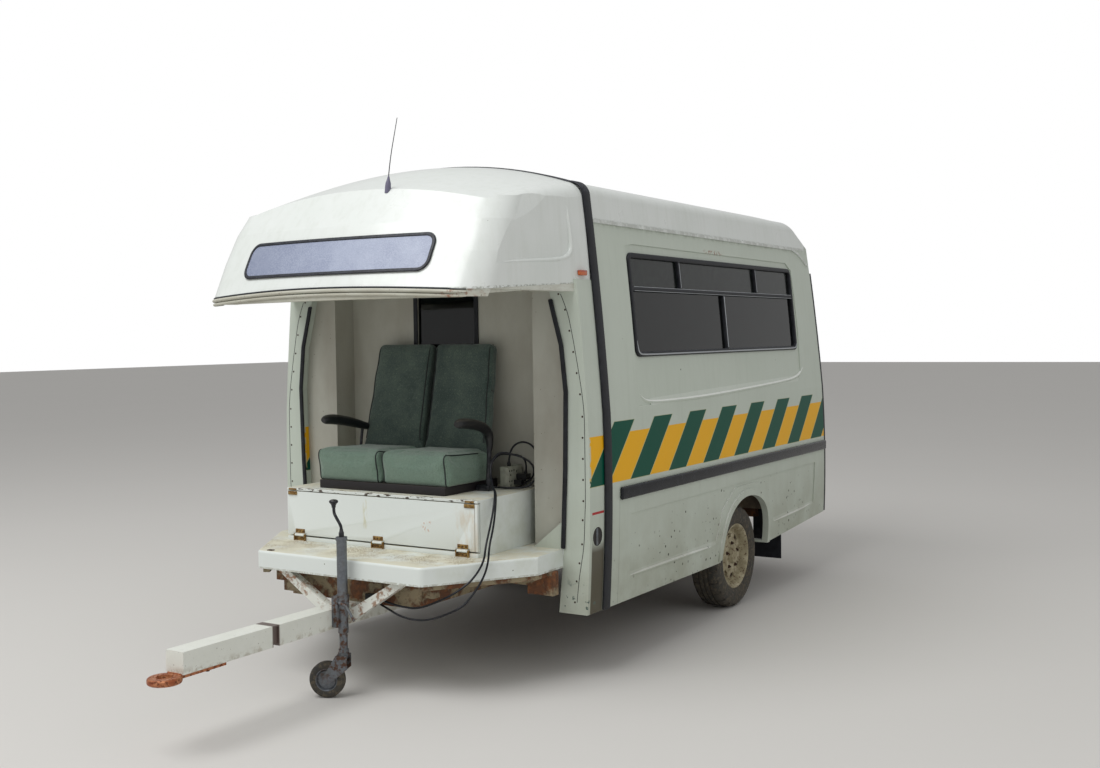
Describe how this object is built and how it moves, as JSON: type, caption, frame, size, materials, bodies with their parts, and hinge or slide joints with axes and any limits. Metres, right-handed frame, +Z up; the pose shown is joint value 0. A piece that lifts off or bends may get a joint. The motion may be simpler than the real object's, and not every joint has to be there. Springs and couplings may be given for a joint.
{
  "type": "ambulance body trailer",
  "caption": "Ambulance rear body with a moulded cap, open seat bay and twin rear doors, on a single-axle trailer frame with a drawbar and a jockey wheel.",
  "frame": {"origin": "on the ground, below the middle of the overall length and width", "axes": "+X to the vehicle's left, +Y to its rear, +Z up; the drawbar points to -Y"},
  "size_m": [1.996, 5.21, 2.6996],
  "materials": {
    "white_paint": "gloss, weathered",
    "white_grp": "gel coat",
    "cream_paint": "satin, stained",
    "floor_board": "worn",
    "black_rubber": "matt",
    "tyre_rubber": "matt",
    "dark_glass": "tinted",
    "frame_paint": "rusty",
    "zinc_steel": "galvanised",
    "rust_steel": "rusty",
    "rim_paint": "satin, dirty",
    "green_fabric": "woven",
    "black_plastic": "moulded",
    "sign_face": "satin",
    "amber_lens": "gloss",
    "brass_hinge": "satin, worn",
    "red_lens": "gloss"
  },
  "bodies": {
    "body": {"aerial": "black_plastic", "armrests": "black_plastic", "axle_beam": "frame_paint", "cable_ends": "black_plastic", "cable_inner": "black_rubber", "cable_outer": "black_rubber", "chassis_rails": "frame_paint", "crank_handle": "zinc_steel", "cross_members": "frame_paint", "door_seals": "black_rubber", "drawbar": "cream_paint", "flap_hinges": "brass_hinge", "floor_panel": "floor_board", "front_bulkhead": "cream_paint", "front_pillars": "cream_paint", "hatch_glass": "dark_glass", "header_rails": "cream_paint", "jockey_tube": "zinc_steel", "leaf_springs": "rust_steel", "left_side_panel": "white_paint", "marker_lamps": "amber_lens", "mudflaps": "black_rubber", "platform": "cream_paint", "pod_shell": "white_grp", "rear_corner_trims": "black_rubber", "rear_frame": "white_paint", "rear_lamps": "red_lens", "rear_step": "frame_paint", "right_side_panel": "white_paint", "roof_panel": "white_grp", "rub_rails": "black_rubber", "seam_strip": "black_rubber", "seat_backs": "green_fabric", "seat_base": "black_plastic", "seat_cushions": "green_fabric", "side_window_frames": "black_rubber", "side_window_glass": "dark_glass", "sign_panel": "sign_face", "sign_surround": "black_rubber", "socket_box": "black_plastic", "socket_lead": "black_rubber", "storage_box": "white_grp", "tow_eye": "rust_steel"},
    "wheel_left": {"tyre_left": "tyre_rubber", "rim_left": "rim_paint"},
    "wheel_right": {"tyre_right": "tyre_rubber", "rim_right": "rim_paint"},
    "storage_flap": {"storage_flap": "white_grp"},
    "rear_door_left": {"rear_door_left": "white_paint", "rear_glass_left": "dark_glass"},
    "rear_door_right": {"rear_door_right": "white_paint", "rear_glass_right": "dark_glass"},
    "jockey_leg": {"jockey_leg": "zinc_steel"},
    "jockey_fork": {"jockey_fork": "zinc_steel"},
    "jockey_wheel": {"jockey_wheel": "black_rubber"}
  },
  "joints": [
    {"name": "wheel_left_spin", "type": "hinge", "parent": "body", "child": "wheel_left", "pos_m": [0.8325, 1.081, 0.312], "axis": [1, 0, 0], "continuous": true},
    {"name": "wheel_right_spin", "type": "hinge", "parent": "body", "child": "wheel_right", "pos_m": [-0.8325, 1.081, 0.312], "axis": [1, 0, 0], "continuous": true},
    {"name": "storage_flap_drop", "type": "hinge", "parent": "body", "child": "storage_flap", "pos_m": [0, -1.203, 0.665], "axis": [1, 0, 0], "range_deg": [0, 88]},
    {"name": "rear_door_left_swing", "type": "hinge", "parent": "body", "child": "rear_door_left", "pos_m": [0.777, 2.53198, 0.32672], "axis": [0, 0.0597, -0.9982], "range_deg": [0, 100]},
    {"name": "rear_door_right_swing", "type": "hinge", "parent": "body", "child": "rear_door_right", "pos_m": [-0.777, 2.53198, 0.32672], "axis": [0, -0.0597, 0.9982], "range_deg": [0, 100]},
    {"name": "jockey_leg_slide", "type": "slide", "parent": "body", "child": "jockey_leg", "axis": [0, 0, 1], "range_m": [-0.1, 0.06]},
    {"name": "jockey_swivel", "type": "hinge", "parent": "jockey_leg", "child": "jockey_fork", "pos_m": [0.085, -1.56, 0.202], "axis": [0, 0, 1], "continuous": true},
    {"name": "jockey_wheel_spin", "type": "hinge", "parent": "jockey_fork", "child": "jockey_wheel", "pos_m": [0.0122, -1.59317, 0.085], "axis": [0.4146, -0.91, 0], "continuous": true}
  ]
}
